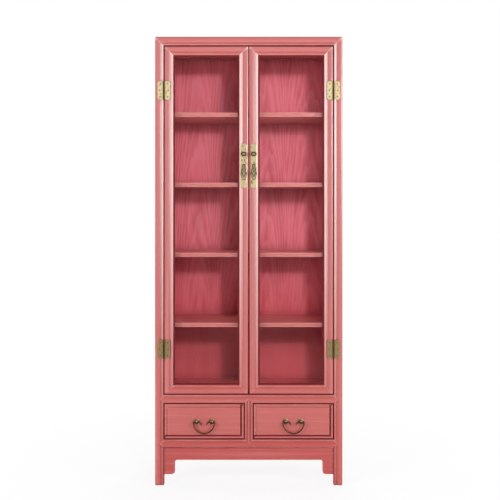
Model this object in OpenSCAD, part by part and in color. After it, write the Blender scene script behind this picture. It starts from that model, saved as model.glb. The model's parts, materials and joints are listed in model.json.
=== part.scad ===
// Tall glazed cabinet on legs: moulded posts and rails with mitred and pointed
// shoulders, two glass doors on surface hinges, four shelves and two drawers.
// The front faces -Y. The origin is on the floor, in the middle of the whole
// object with its front hardware.

/* [Case] */
// Width over the posts
case_w = 800; // [700:10:1000]
// Depth from the faces of the front posts to the back
case_d = 350; // [320:10:450]
// Height from the floor to the top of the top rails
case_h = 1910; // [1750:10:2100]
// Width of a post or a rail across its face
frame_w = 38; // [36:1:44]
// Thickness of a rail from its face to its back
rail_t = 30; // [28:1:32]
// Height of the legs below the bottom rails
leg_h = 158; // [130:1:220]
// Clear height of the drawer openings
drawer_open_h = 152; // [120:1:200]
// Width of the stile between the drawers
centre_w = 36; // [34:1:44]

/* [Mouldings] */
// Width of the round bead beside an opening
bead_w = 10; // [9:0.5:11]
// Rise of the bead above its own edges
bead_rise = 3.4; // [2.5:0.1:3.8]
// Width of the groove between the bead and the band
groove_w = 4; // [3:0.5:5]
// Depth of the groove below the crests
groove_d = 4.5; // [4:0.1:5]
// Rise of the wide band above its own edges
band_rise = 4; // [2.5:0.1:4]

/* [Joints of the frame] */
// Thickness of the mitred or pointed lap at the face of a joint
lap_t = 10; // [8:0.5:10]
// Set-back of the tenons from the face
tenon_set = 13; // [12:0.5:14]
// Thickness of the tenons
tenon_t = 12; // [9:0.5:12]
// Shoulder above and below a tenon
tenon_edge = 7; // [7:0.5:9]
// Room around a tenon in its mortise
tenon_fit = 0.1; // [0.05:0.05:0.3]

/* [Panels and boards] */
// Thickness of the side and back panels
panel_t = 8; // [6:0.5:9]
// Set-back of the panels from the outer faces
panel_set = 10; // [10:0.5:12]
// Depth to which a panel enters its grooves
panel_lap = 6; // [4:0.5:6]
// Thickness of the top panel
top_t = 12; // [9:1:15]
// Lip of the top rails below the top panel
top_lip = 4; // [3:0.5:6]
// Thickness of the battens on the top panel
batten_t = 14; // [10:1:18]
// Width of the battens on the top panel
batten_w = 34; // [25:1:45]
// Distance of each batten from the middle of the top panel
batten_x = 180; // [120:10:240]
// Thickness of the board under the drawers
base_t = 8; // [6:1:10]
// Lip of the bottom rails below that board
base_lip = 6; // [5:0.5:7]
// Thickness of the floor of the glazed part
floor_t = 12; // [10:1:14]
// Height of that floor above the mid rails, as a stop for the doors
floor_lip = 5; // [3:1:7]
// Room between the doors and the edge of the floor
floor_room = 0.5; // [0.5:0.5:3]

/* [Shelves] */
// Thickness of a shelf
shelf_t = 18; // [15:1:25]
// Drop of the shelves below even steps
shelf_drop = 3.5; // [0:0.5:8]
// Set-back of the shelves from the faces of the posts
shelf_set = 30; // [26:1:60]
// Room at the ends of a shelf
shelf_room = 0.5; // [0.3:0.1:1]
// Width of the cleats under the shelves
cleat_w = 14; // [10:1:18]
// Height of the cleats under the shelves
cleat_h = 22; // [15:1:30]

/* [Apron] */
// Height of the apron between the spandrels
apron_h = 52; // [40:1:70]
// Thickness of the aprons
apron_t = 14; // [10:1:18]
// Set-back of the aprons from the faces of the posts
apron_set = 8; // [6:1:12]
// Width of a spandrel beside a leg
spandrel_w = 47; // [36:1:70]
// Height of a spandrel
spandrel_h = 113; // [90:1:125]
// Radius where the apron turns down into a spandrel
spandrel_in_r = 11; // [5:1:20]
// Radius at the foot of a spandrel
spandrel_out_r = 13; // [5:1:20]

/* [Doors] */
// Thickness of the door frames
door_t = 22; // [20:0.5:23]
// Width of a door frame's members
door_frame_w = 38; // [38:1:45]
// Width of the bead beside the glass
door_bead_w = 11; // [9:0.5:12]
// Width of the plain lip between that bead and the glass
lip_w = 6.5; // [4:0.5:8]
// Depth of the lip behind the face of a door
lip_set = 6; // [5.5:0.5:7]
// Gap around the doors
door_gap = 2.5; // [2:0.25:3]
// Gap between the two doors
meeting_gap = 4; // [2:0.5:5]
// Thickness of the glass
glass_t = 4; // [3:0.5:5]
// Depth of the glass behind the face of a door
glass_set = 11; // [9:0.5:12]
// Width of the rebate that holds the glass
rebate_w = 8; // [6:0.5:9]
// Room between the edge of the glass and the rebate
glass_room = 0.5; // [0.3:0.1:1]

/* [Hinges] */
// Height of a hinge
hinge_h = 78; // [60:1:100]
// Width of a leaf from the pin
leaf_w = 28; // [20:0.5:28]
// Thickness of a leaf
leaf_t = 1.6; // [1.2:0.1:2]
// Diameter of the knuckles
knuckle_d = 7; // [6.5:0.1:8]
// Diameter of the hinge pins
hinge_pin_d = 3; // [2.5:0.1:3.5]
// Play of a pin in its bore, on the diameter
pin_play = 0.1; // [0.06:0.02:0.16]
// Gap between neighbouring knuckles
knuckle_gap = 0.4; // [0.3:0.1:0.8]
// Distance of the pin in front of the faces
pin_out = 3.2; // [2.9:0.1:3.6]
// Height of the lower hinges above the floor
hinge_low_z = 580; // [520:5:700]
// Height of the upper hinges above the floor
hinge_high_z = 1681; // [1500:1:1690]
// Depth of the flat seats cut for the fittings
seat_d = 0.5; // [0.4:0.1:0.8]

/* [Door pulls] */
// Width of the long plates
plate_w = 26; // [22:1:30]
// Height of the long plates
plate_h = 188; // [150:1:240]
// Thickness of the long plates
plate_t = 1.5; // [1:0.1:2]
// Height of the middle of the plates above the floor
plate_z = 1360; // [1200:10:1450]
// Height of the knob above the middle of its plate
knob_rise = 50; // [35:1:65]
// Diameter of the round ends of the knob
knob_d = 18; // [14:1:20]
// Distance between the middles of those ends
knob_spread = 6; // [3:0.5:6]
// Reach of the knob from its plate
knob_out = 17; // [14:0.5:22]
// Diameter of the pin that the pendant swings on
swing_pin_d = 2.4; // [2:0.1:3]
// Distance of that pin from its plate
swing_out = 5.5; // [5:0.1:7]
// Thickness of the pendant
pendant_t = 2.4; // [1.8:0.1:3]
// Diameter of the widest lobe of the pendant
pendant_d = 27; // [24:1:29]

/* [Drawers] */
// Gap around a drawer front
drawer_gap = 2.5; // [2:0.25:4]
// Set-back of the drawer fronts
drawer_set = 3; // [1:0.5:4]
// Thickness of a drawer front
front_t = 20; // [18:1:24]
// Width of the bead around a drawer front
front_bead_w = 9; // [7:0.5:11]
// Width of the groove inside that bead
front_groove_w = 7; // [5:0.5:9]
// Depth of that groove
front_groove_d = 2.5; // [2:0.1:3.5]
// Thickness of the sides and back of a drawer
side_t = 12; // [10:1:14]
// Room beside a drawer
side_room = 0.5; // [0.3:0.1:1]
// Set-in of a drawer side from the end of its front
side_set = 1.5; // [1:0.1:3]
// Running clearance of a drawer on its runners
run_gap = 0.3; // [0.2:0.1:0.6]
// Room behind a drawer
back_room = 7; // [5:1:15]
// Thickness of a drawer bottom
bottom_t = 6; // [4:0.5:8]
// Height of a drawer bottom above the runners
bottom_rise = 10; // [8:1:16]
// Depth of the grooves that hold a drawer bottom
bottom_lap = 5; // [4:0.5:7]
// Thickness of the runners
runner_t = 14; // [10:1:18]
// Width of a side runner
runner_w = 30; // [25:1:40]
// Height of the guides beside the drawers
guide_h = 20; // [12:1:30]

/* [Drawer handles] */
// Distance between the two balls of a handle
ball_spacing = 66; // [56:1:90]
// Diameter of the balls
ball_d = 14.4; // [13:0.2:17]
// Distance of a ball's middle from the drawer front
ball_out = 11; // [10.5:0.5:14]
// Diameter of the rosettes behind the balls
rosette_d = 23; // [18:1:28]
// Thickness of the rosettes
rosette_t = 3; // [2:0.5:3]
// Diameter of the bail's rod
bail_d = 5.6; // [5:0.1:6.2]
// Radius of the bail's elbows
elbow_r = 3.6; // [3.4:0.1:6]
// Radius of the bail's curled ends
curl_r = 13; // [10:0.5:16]
// Straight length between the bail's elbows and its half circle
bail_drop = 1.5; // [1:0.5:6]
// Length of the bail's pointed tips
tip_l = 10; // [6:0.5:14]
// Diameter of those tips at the point
tip_d = 1; // [0.6:0.1:2]

/* [Hidden] */
$fn = 64;
door_parts = [
    "hinge_stile", "meeting_stile", "top_rail", "bottom_rail", "glass", "glass_beads",
    "hinge_leaves", "pull_plate", "knob", "pendant_bracket", "pendant"
];
drawer_parts = ["front", "box", "bottom", "bail_posts", "bail"];

// Cuts run this far past a face
over = 1;
shelf_count = 4;
knuckle_count = 5;

paint = "#cf7c7e";
paint_dark = "#b5626a";
glass_tint = [0.85, 0.93, 0.93, 0.35];
brass = "#c9b05f";
brass_dark = "#6f5a33";

// Levels of the frame, from the floor up
z_bottom = leg_h;
z_drawer = z_bottom + frame_w;
z_mid = z_drawer + drawer_open_h;
z_door = z_mid + frame_w;
z_top = case_h - frame_w;

// Everything stands between the reach of the knobs and the back
seat_face = plate_t - seat_d;
proud = max(seat_face + knob_out, ball_out + ball_d / 2 - drawer_set, pin_out + knuckle_d / 2);
front = (proud - case_d) / 2;
back = front + case_d;
y_mid = front + case_d / 2;
x_out = case_w / 2;
x_in = x_out - frame_w;
front_len = case_w - 2 * frame_w;
side_len = case_d - 2 * frame_w;
x_panel = x_out - panel_set - panel_t;
y_panel = back - panel_set - panel_t;
tenon_l = frame_w - tenon_set - tenon_t - over;

// Shelves at even steps between the floor and the top panel, less their drop
floor_top = z_door + floor_lip;
ceiling_z = z_top + top_lip;
bay_h = (ceiling_z - floor_top - shelf_count * shelf_t) / (shelf_count + 1);
function shelf_z(i) = floor_top + i * (bay_h + shelf_t) - shelf_t - shelf_drop;

// One door, right-hand side
door_w = x_in - door_gap - meeting_gap / 2;
door_h = z_top - z_door - 2 * door_gap;
door_x = meeting_gap / 2 + door_w / 2;
door_z = (z_door + z_top) / 2;
pin_x = x_in - door_gap / 2;
pin_y = front - pin_out;
plate_x = meeting_gap / 2 + door_frame_w / 2;
plate_y = front - seat_face;
swing_z = plate_z;
swing_y = plate_y - swing_out;

// One drawer, right-hand side
drawer_w = x_in - centre_w / 2 - 2 * drawer_gap;
drawer_x = centre_w / 2 + drawer_gap + drawer_w / 2;
drawer_h = drawer_open_h - 2 * drawer_gap;
drawer_z = z_drawer + drawer_open_h / 2;
drawer_y = front + drawer_set;
box_w = drawer_w - 2 * side_set;
box_y = drawer_y + front_t;
box_end = y_panel - back_room;
box_z = z_drawer + run_gap;
box_h = drawer_open_h - run_gap - drawer_gap - side_set;
bottom_z = z_drawer + bottom_rise;
ball_y = drawer_y - ball_out;

// Mirrors a right-hand piece to the left
module on_side(side) {
    if (side == "left") mirror([1, 0, 0]) children();
    else children();
}

// Lays a drawing of X and Z down so that it fills Y from 0 to depth
module upright(depth) {
    translate([0, depth, 0]) rotate([90, 0, 0]) linear_extrude(depth) children();
}

// Segment of a circle, w wide, its crest on the X axis and its body above
module crest(w, rise) {
    r = (w * w / 4 + rise * rise) / (2 * rise);
    intersection() {
        translate([w / 2, r]) circle(r = r);
        translate([0, -over]) square([w, groove_d + 2 * over]);
    }
}

// Section of a moulded member: X runs from the opening outwards, Y from the
// crests inwards. A twin section has a bead along both edges.
module moulding(w, t, bead, twin = false) {
    first = bead + groove_w;
    band = w - first - (twin ? first : 0);
    translate([0, groove_d]) square([w, t - groove_d]);
    crest(bead, bead_rise);
    translate([first, 0]) crest(band, band_rise);
    if (twin) translate([w - bead, 0]) crest(bead, bead_rise);
}

// Moulded bar along X, opening edge down, centred in X
module moulded_bar(len, w, t, bead = bead_w, twin = false) {
    rotate([0, -90, 0]) linear_extrude(len, center = true) moulding(w, t, bead, twin);
}

// Face lap with a point at each end, as deep as half the member's width
module pointed_lap(len, w) {
    a = len / 2;
    b = a + w / 2;
    translate([0, -over, 0]) upright(lap_t + over)
        polygon([[-a, 0], [-b, w / 2], [-a, w], [a, w], [b, w / 2], [a, 0]]);
}

// Face lap mitred at the corners of the case, in elevation and in plan
module mitred_lap(len, w) {
    a = len / 2;
    b = a + w + over;
    intersection() {
        translate([0, -over, 0]) upright(lap_t + over)
            polygon([[-a, 0], [-b, w + over], [b, w + over], [a, 0]]);
        translate([0, 0, -over]) linear_extrude(w + 3 * over) polygon([
            [-b, -over], [b, -over], [b - lap_t - over, lap_t], [-b + lap_t + over, lap_t]
        ]);
    }
}

// The two tenons of a rail, or with room = tenon_fit their mortises
module tenons(len, w, room = 0) {
    root = room == 0 ? over : 0;
    for (end = [-1, 1])
        translate([end * (len / 2 + (tenon_l + room - root) / 2), tenon_set + tenon_t / 2, w / 2])
            cube([tenon_l + room + root, tenon_t + 2 * room, w - 2 * tenon_edge + 2 * room], center = true);
}

// Moulded rail between two posts; kind is "pointed" or "mitred"
module rail(len, w, kind, bead_up = true) {
    intersection() {
        if (bead_up) translate([0, 0, w]) mirror([0, 0, 1]) moulded_bar(len + 2 * w, w, rail_t);
        else moulded_bar(len + 2 * w, w, rail_t);
        union() {
            translate([-len / 2, lap_t, -over]) cube([len, rail_t, w + 2 * over]);
            if (kind == "mitred") mitred_lap(len, w);
            else pointed_lap(len, w);
        }
    }
    tenons(len, w);
}

// What a rail takes out of its two posts
module rail_cut(len, w, kind) {
    if (kind == "mitred") mitred_lap(len, w);
    else pointed_lap(len, w);
    tenons(len, w, tenon_fit);
}

// Rear rail, plain, its face to the back
module plain_rail(len, w) {
    translate([-len / 2, 0, 0]) cube([len, rail_t, w]);
    tenons(len, w);
}

// Places a front rail, a right-hand side rail or a rear rail at its height
module at_front(z) { translate([0, front, z]) children(); }
module at_side(z) { translate([x_out, y_mid, z]) rotate([0, 0, 90]) children(); }
module at_rear(z) { translate([0, back, z]) mirror([0, 1, 0]) children(); }

// Plan of a board inside the case, drawn round the posts. The four sizes are its
// reach in X, its front and back edges, and the room left round the posts.
module board_plan(reach, y0, y1, room = 0) {
    difference() {
        translate([-reach, y0]) square([2 * reach, y1 - y0]);
        for (side = [-1, 1], y = [front - over, back - frame_w - room])
            translate([side * (x_in - room + frame_w / 2 + over), y + (frame_w + room + over) / 2])
                square([frame_w + 2 * over, frame_w + room + over], center = true);
    }
}

module top_board() {
    lap = rail_t - panel_lap;
    translate([0, 0, ceiling_z]) linear_extrude(top_t)
        board_plan(x_out - lap, front + lap, back - lap);
}

module base_board_shape() {
    lap = rail_t - panel_lap;
    translate([0, 0, z_bottom + base_lip]) linear_extrude(base_t)
        board_plan(x_out - lap, front + lap, back - lap);
}

module floor_board() {
    translate([0, 0, floor_top - floor_t]) linear_extrude(floor_t)
        board_plan(x_panel, front + door_t + floor_room, y_panel);
}

// Side and back panels of one storey, from rail to rail
module side_panel(z0, z1) {
    translate([x_panel, y_mid - side_len / 2 - panel_lap, z0 - panel_lap])
        cube([panel_t, side_len + 2 * panel_lap, z1 - z0 + 2 * panel_lap]);
}

module back_panel(z0, z1) {
    translate([-x_in - panel_lap, y_panel, z0 - panel_lap])
        cube([2 * (x_in + panel_lap), panel_t, z1 - z0 + 2 * panel_lap]);
}

module all_side_panels() {
    side_panel(z_drawer, z_mid);
    side_panel(z_door, z_top);
}

module all_back_panels() {
    back_panel(z_drawer, z_mid);
    back_panel(z_door, z_top);
}

module side_rail_cuts() {
    at_side(z_bottom) rail_cut(side_len, frame_w, "pointed");
    at_side(z_mid) rail_cut(side_len, frame_w, "pointed");
    at_side(z_top) rail_cut(side_len, frame_w, "mitred");
}

// Posts

module front_post_section() {
    intersection() {
        moulding(frame_w, frame_w, bead_w);
        translate([frame_w, frame_w]) mirror([1, 1]) moulding(frame_w, frame_w, bead_w);
    }
}

module post_front() {
    color(paint) difference() {
        translate([x_in, front, 0]) linear_extrude(case_h) front_post_section();
        at_front(z_bottom) rail_cut(front_len, frame_w, "pointed");
        at_front(z_mid) rail_cut(front_len, frame_w, "pointed");
        at_front(z_top) rail_cut(front_len, frame_w, "mitred");
        side_rail_cuts();
        all_side_panels();
        hinge_seats() leaf_outline();
    }
}

module post_rear() {
    color(paint) difference() {
        translate([x_out, back - frame_w, 0]) rotate([0, 0, 90])
            linear_extrude(case_h) moulding(frame_w, frame_w, bead_w);
        for (z = [z_bottom, z_mid, z_top]) at_rear(z) tenons(front_len, frame_w, tenon_fit);
        side_rail_cuts();
        all_side_panels();
        all_back_panels();
    }
}

// Rails

module rail_top_front() {
    color(paint) difference() {
        at_front(z_top) rail(front_len, frame_w, "mitred", bead_up = false);
        top_board();
    }
}

module rail_mid_front() {
    color(paint) difference() {
        at_front(z_mid) rail(front_len, frame_w, "pointed");
        floor_board();
        centre_stile_cut();
    }
}

module rail_bottom_front() {
    color(paint) difference() {
        at_front(z_bottom) rail(front_len, frame_w, "pointed");
        base_board_shape();
        centre_stile_cut();
        apron_front_blank();
    }
}

module rails_rear() {
    color(paint_dark) difference() {
        for (z = [z_bottom, z_mid, z_top]) at_rear(z) plain_rail(front_len, frame_w);
        top_board();
        base_board_shape();
        floor_board();
        all_back_panels();
    }
}

module rails_side() {
    color(paint) difference() {
        union() {
            at_side(z_bottom) rail(side_len, frame_w, "pointed");
            at_side(z_mid) rail(side_len, frame_w, "pointed");
            at_side(z_top) rail(side_len, frame_w, "mitred", bead_up = false);
        }
        top_board();
        base_board_shape();
        floor_board();
        all_side_panels();
        apron_side_blank();
    }
}

// Upright between the drawers, pointed into the rails above and below
module stile_frame() {
    translate([centre_w / 2, front, (z_drawer + z_mid) / 2]) rotate([0, -90, 0]) children();
}

module centre_stile() {
    color(paint) stile_frame() {
        intersection() {
            moulded_bar(drawer_open_h + 2 * centre_w, centre_w, rail_t, twin = true);
            union() {
                translate([-drawer_open_h / 2, lap_t, -over])
                    cube([drawer_open_h, rail_t, centre_w + 2 * over]);
                pointed_lap(drawer_open_h, centre_w);
            }
        }
        tenons(drawer_open_h, centre_w);
    }
}

module centre_stile_cut() {
    stile_frame() {
        pointed_lap(drawer_open_h, centre_w);
        tenons(drawer_open_h, centre_w, tenon_fit);
    }
}

// Panels, boards and shelves

module top_panel() {
    color(paint_dark) top_board();
}

module top_battens() {
    color(paint_dark) for (side = [-1, 1])
        translate([side * batten_x - batten_w / 2, front + rail_t, ceiling_z + top_t])
            cube([batten_w, case_d - 2 * rail_t, batten_t]);
}

module side_panels() {
    color(paint_dark) all_side_panels();
}

module back_panels() {
    color(paint_dark) all_back_panels();
}

module cabinet_floor() {
    color(paint_dark) floor_board();
}

module base_board() {
    color(paint_dark) base_board_shape();
}

module shelf(i) {
    color(paint) translate([0, 0, shelf_z(i)]) linear_extrude(shelf_t)
        board_plan(x_panel - shelf_room, front + shelf_set, y_panel, shelf_room);
}

module shelf_cleats() {
    color(paint_dark) for (side = ["left", "right"], i = [1 : shelf_count]) on_side(side)
        translate([x_panel - cleat_w, y_mid - side_len / 2, shelf_z(i) - cleat_h])
            cube([cleat_w, side_len, cleat_h]);
}

// Aprons: a straight board that turns down into a spandrel beside each leg

module apron_outline(len) {
    a = len / 2;
    b = a - spandrel_w;
    translate([-a, -apron_h]) square([len, apron_h + panel_lap]);
    for (side = [-1, 1]) {
        difference() {
            translate([side * (a - spandrel_w / 2), -spandrel_h / 2])
                square([spandrel_w, spandrel_h], center = true);
            translate([side * (b + spandrel_out_r / 2 - over / 2), -spandrel_h + (spandrel_out_r - over) / 2])
                square([spandrel_out_r + over, spandrel_out_r + over], center = true);
        }
        translate([side * (b + spandrel_out_r), -spandrel_h + spandrel_out_r]) circle(r = spandrel_out_r);
        difference() {
            translate([side * (b - spandrel_in_r / 2 + over / 2), -apron_h - (spandrel_in_r - over) / 2])
                square([spandrel_in_r + over, spandrel_in_r + over], center = true);
            translate([side * (b - spandrel_in_r), -apron_h - spandrel_in_r]) circle(r = spandrel_in_r);
        }
    }
}

module apron(len) {
    translate([0, apron_set, 0]) upright(apron_t) apron_outline(len);
}

module apron_front_blank() {
    at_front(z_bottom) translate([-front_len / 2, apron_set, -over]) cube([front_len, apron_t, panel_lap + over]);
}

module apron_side_blank() {
    at_side(z_bottom) translate([-side_len / 2, apron_set, -over]) cube([side_len, apron_t, panel_lap + over]);
}

module apron_front() {
    color(paint) at_front(z_bottom) apron(front_len);
}

module aprons_side() {
    color(paint) for (side = ["left", "right"]) on_side(side) at_side(z_bottom) apron(side_len);
}

// Runners: L-shaped beside the outer ends of the drawers, T-shaped in the middle

// Solid of an XZ section, from y0 to y1
module along_depth(y0, y1) {
    translate([0, y0, 0]) upright(y1 - y0) children();
}

module runner_right() {
    z0 = z_drawer - runner_t;
    z1 = z_drawer + guide_h;
    guide_x = x_in - drawer_gap - side_set + side_room;
    rail_x = x_out - rail_t;
    along_depth(front + rail_t, back - rail_t)
        translate([x_in - runner_w, z0]) square([runner_w, runner_t]);
    along_depth(y_mid - side_len / 2, y_mid + side_len / 2) polygon([
        [x_in - runner_w, z0], [rail_x, z0], [rail_x, z_drawer], [x_panel, z_drawer],
        [x_panel, z1], [guide_x, z1], [guide_x, z_drawer], [x_in - runner_w, z_drawer]
    ]);
}

module runner_middle() {
    guide_x = centre_w / 2 + drawer_gap + side_set - side_room;
    base_x = centre_w / 2 + runner_w;
    along_depth(front + rail_t, back - rail_t) {
        translate([-base_x, z_drawer - runner_t]) square([2 * base_x, runner_t]);
        translate([-guide_x, z_drawer - over]) square([2 * guide_x, guide_h + over]);
    }
}

module drawer_runners() {
    color(paint_dark) {
        for (side = ["left", "right"]) on_side(side) runner_right();
        runner_middle();
    }
}

// Door frame: four moulded bars mitred at the corners

// One bar whose outer edge is len long
module door_bar(len) {
    a = len / 2;
    w = door_frame_w;
    difference() {
        intersection() {
            union() {
                moulded_bar(len + 2 * over, w, door_t, door_bead_w);
                translate([-a, lip_set, -lip_w]) cube([len, glass_set - lip_set, lip_w + over]);
            }
            translate([0, -over, 0]) upright(door_t + 2 * over)
                polygon([[w - a + lip_w, -lip_w], [-a, w], [a, w], [a - w - lip_w, -lip_w]]);
        }
        translate([-a, glass_set, -over]) cube([len, door_t, rebate_w + over]);
    }
}

// Turns a bar so that its outer edge faces up, right, down or left
module door_edge(turn, reach) {
    translate([door_x, front, door_z]) rotate([0, turn, 0])
        translate([0, 0, reach / 2 - door_frame_w]) children();
}

module door_hinge_stile() {
    color(paint) difference() {
        door_edge(90, door_w) door_bar(door_h);
        hinge_seats() mirror([1, 0]) leaf_outline();
    }
}

module door_meeting_stile() {
    color(paint) difference() {
        door_edge(-90, door_w) door_bar(door_h);
        pull_seat();
    }
}

module door_top_rail() {
    color(paint) door_edge(0, door_h) door_bar(door_w);
}

module door_bottom_rail() {
    color(paint) door_edge(180, door_h) door_bar(door_w);
}

module door_glass() {
    reach = 2 * (door_frame_w - rebate_w + glass_room);
    color(glass_tint) translate([door_x, front + glass_set + glass_t / 2, door_z])
        cube([door_w - reach, glass_t, door_h - reach], center = true);
}

// Strips behind the glass, rounded towards it and mitred
module glass_strip(len) {
    a = len / 2;
    t = door_t - glass_set - glass_t;
    w = rebate_w;
    intersection() {
        rotate([0, -90, 0]) linear_extrude(len, center = true) union() {
            intersection() {
                translate([w, 0]) circle(r = w);
                square([w, t]);
            }
            translate([w / 2, 0]) square([w / 2, t]);
        }
        translate([0, -over, 0]) upright(t + 2 * over) polygon([[w - a, 0], [-a, w], [a, w], [a - w, 0]]);
    }
}

module door_glass_beads() {
    shift = 2 * (door_frame_w - rebate_w);
    color(paint) for (turn = [0, 90, 180, 270]) {
        upright_bar = turn == 90 || turn == 270;
        reach = (upright_bar ? door_w : door_h) - shift;
        len = (upright_bar ? door_h : door_w) - shift;
        translate([door_x, front + glass_set + glass_t, door_z]) rotate([0, turn, 0])
            translate([0, 0, reach / 2 - rebate_w]) glass_strip(len);
    }
}

// Hinges: two scalloped leaves of five knuckles on a pin with button ends

knuckle_l = hinge_h / knuckle_count;
button_d = 0.8 * knuckle_d;
button_l = 2;
corner_scallop_r = 5;
edge_scallop_r = 2.5;
edge_scallop_z = hinge_h / 5;

// Outline of a leaf from the pin outwards
module leaf_outline() {
    difference() {
        translate([0, -hinge_h / 2]) square([leaf_w, hinge_h]);
        for (side = [-1, 1]) {
            translate([leaf_w, side * hinge_h / 2]) circle(r = corner_scallop_r);
            translate([leaf_w, side * edge_scallop_z]) circle(r = edge_scallop_r);
        }
    }
}

module at_hinges() {
    for (z = [hinge_low_z, hinge_high_z]) translate([pin_x, front, z]) children();
}

// Shallow seats for leaves drawn from the pin
module hinge_seats() {
    at_hinges() translate([0, -band_rise, 0]) upright(band_rise + seat_d) children();
}

// Knuckles in the rows that leaf number which owns, which is 0 or 1
module knuckle_rows(which, gap) {
    for (i = [which : 2 : knuckle_count - 1])
        translate([0, 0, (i - (knuckle_count - 1) / 2) * knuckle_l]) linear_extrude(knuckle_l - gap, center = true)
            children();
}

// A leaf that reaches towards +X; which = 0 has the outer knuckles
module hinge_leaf(which) {
    notch = knuckle_d / 2 + knuckle_gap;
    difference() {
        union() {
            difference() {
                translate([0, seat_d - leaf_t, 0]) upright(leaf_t) leaf_outline();
                translate([-over, -pin_out, -hinge_h]) cube([2 * over, 2 * pin_out, 2 * hinge_h]);
                knuckle_rows(1 - which, -knuckle_gap) translate([-over, -pin_out]) square([notch + over, 2 * pin_out]);
            }
            translate([0, -pin_out, 0]) knuckle_rows(which, knuckle_gap) circle(d = knuckle_d);
        }
        translate([0, -pin_out, 0]) cylinder(d = hinge_pin_d + pin_play, h = 2 * hinge_h, center = true);
    }
}

module hinge_leaves_posts() {
    color(brass) for (side = ["left", "right"]) on_side(side) at_hinges() hinge_leaf(0);
}

module door_hinge_leaves() {
    color(brass) at_hinges() mirror([1, 0, 0]) hinge_leaf(1);
}

module hinge_pins() {
    color(brass_dark) for (side = ["left", "right"]) on_side(side) at_hinges() translate([0, -pin_out, 0]) {
        cylinder(d = hinge_pin_d, h = hinge_h + button_l, center = true);
        for (end = [0, 1]) mirror([0, 0, end]) translate([0, 0, (hinge_h - knuckle_gap) / 2])
            cylinder(d1 = button_d, d2 = hinge_pin_d, h = button_l);
    }
}

// Door pulls: a long plate, a turned knob and a pierced pendant on a pin

ear_t = 2;
ear_d = 6;
barrel_l = 8;
barrel_d = 5.4;
ear_gap = 0.3;
bracket_d = 15;
bracket_t = 1.6;
plate_corner_r = 4;

module plate_outline() {
    difference() {
        translate([0, plate_z]) square([plate_w, plate_h], center = true);
        for (x = [-1, 1], z = [-1, 1])
            translate([x * plate_w / 2, plate_z + z * plate_h / 2]) circle(r = plate_corner_r);
    }
}

module pull_seat() {
    translate([plate_x, front - band_rise, 0]) upright(band_rise + seat_d) plate_outline();
}

module door_pull_plate() {
    color(brass) translate([plate_x, plate_y, 0]) upright(plate_t) plate_outline();
}

// Profile of an end of the knob, from its plate outwards
module knob_profile() {
    r = knob_d / 2;
    neck_r = r / 2;
    foot_t = 2;
    head_t = r * 0.75;
    dome_r = (r * r + head_t * head_t) / (2 * head_t);
    square([neck_r, knob_out - head_t + over / 2]);
    square([r * 0.8, foot_t]);
    intersection() {
        translate([0, knob_out - dome_r]) circle(r = dome_r);
        translate([0, knob_out - head_t]) square([r, head_t + over]);
    }
}

// Oval knob: two turned half ends and the straight length between them
module door_knob() {
    color(brass) translate([plate_x, plate_y, plate_z + knob_rise]) rotate([90, 0, 0]) {
        for (side = [0, 1]) mirror([side, 0, 0]) translate([knob_spread / 2, 0, 0])
            rotate([0, 0, -90]) rotate_extrude(angle = 180) knob_profile();
        rotate([90, 0, 90]) linear_extrude(knob_spread, center = true) for (side = [0, 1])
            mirror([side, 0, 0]) knob_profile();
    }
}

module door_pendant_bracket() {
    ear_x = barrel_l / 2 + ear_gap;
    pin_l = barrel_l + 2 * ear_gap + 3 * ear_t;
    color(brass_dark) {
        difference() {
            union() {
                translate([plate_x, plate_y, swing_z]) rotate([90, 0, 0]) cylinder(d = bracket_d, h = bracket_t);
                for (side = [0, 1]) translate([plate_x, swing_y, swing_z]) mirror([side, 0, 0]) {
                    translate([ear_x, 0, 0]) rotate([0, 90, 0]) cylinder(d = ear_d, h = ear_t);
                    translate([ear_x, 0, -ear_d / 2]) cube([ear_t, swing_out - bracket_t / 2, ear_d]);
                }
            }
            translate([plate_x, swing_y, swing_z]) rotate([0, 90, 0])
                cylinder(d = swing_pin_d + pin_play, h = 2 * bracket_d, center = true);
        }
        translate([plate_x, swing_y, swing_z]) rotate([0, 90, 0])
            cylinder(d = swing_pin_d, h = pin_l, center = true);
    }
}

// Lobed outline of the pendant below its pin, and the holes that pierce it
module pendant_outline() {
    r = pendant_d / 2;
    difference() {
        union() {
            translate([0, -0.6 * r]) circle(r = 0.48 * r);
            translate([0, -1.45 * r]) circle(r = 0.8 * r);
            translate([0, -2.45 * r]) circle(r = r);
            translate([0, -3.4 * r]) circle(r = 0.75 * r);
            translate([0, -4.2 * r]) circle(r = 0.32 * r);
        }
        for (z = [-0.75, -1.72, -3.3]) translate([0, z * r]) circle(r = 0.2 * r);
        for (side = [-1, 1]) {
            translate([side * 0.46 * r, -1.3 * r]) circle(r = 0.14 * r);
            translate([side * 0.56 * r, -2.3 * r]) circle(r = 0.24 * r);
            translate([side * 0.3 * r, -2.85 * r]) circle(r = 0.13 * r);
        }
    }
}

module door_pendant() {
    color(brass) translate([plate_x, swing_y, swing_z]) difference() {
        union() {
            translate([0, -pendant_t / 2, 0]) upright(pendant_t) pendant_outline();
            rotate([0, 90, 0]) cylinder(d = barrel_d, h = barrel_l, center = true);
        }
        rotate([0, 90, 0]) cylinder(d = swing_pin_d + pin_play, h = 2 * barrel_l, center = true);
    }
}

// Drawers

// What is cut away along one edge of a drawer front to leave its bead, the
// mitres a hair into those of the next edges
module front_bead_cut(len) {
    lap = 0.05;
    w = front_bead_w;
    inner = front_groove_w / 2;
    a = len / 2 + lap;
    rise = 0.8 * front_groove_d;
    intersection() {
        rotate([0, -90, 0]) linear_extrude(len + 4 * over, center = true) difference() {
            translate([-inner, -over]) square([inner + w + over, over + rise]);
            crest(w, rise);
        }
        translate([0, -over, 0]) upright(over + front_groove_d)
            polygon([[w + inner - a, -inner], [-a - over, w + over], [a + over, w + over], [a - w - inner, -inner]]);
    }
}

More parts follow.
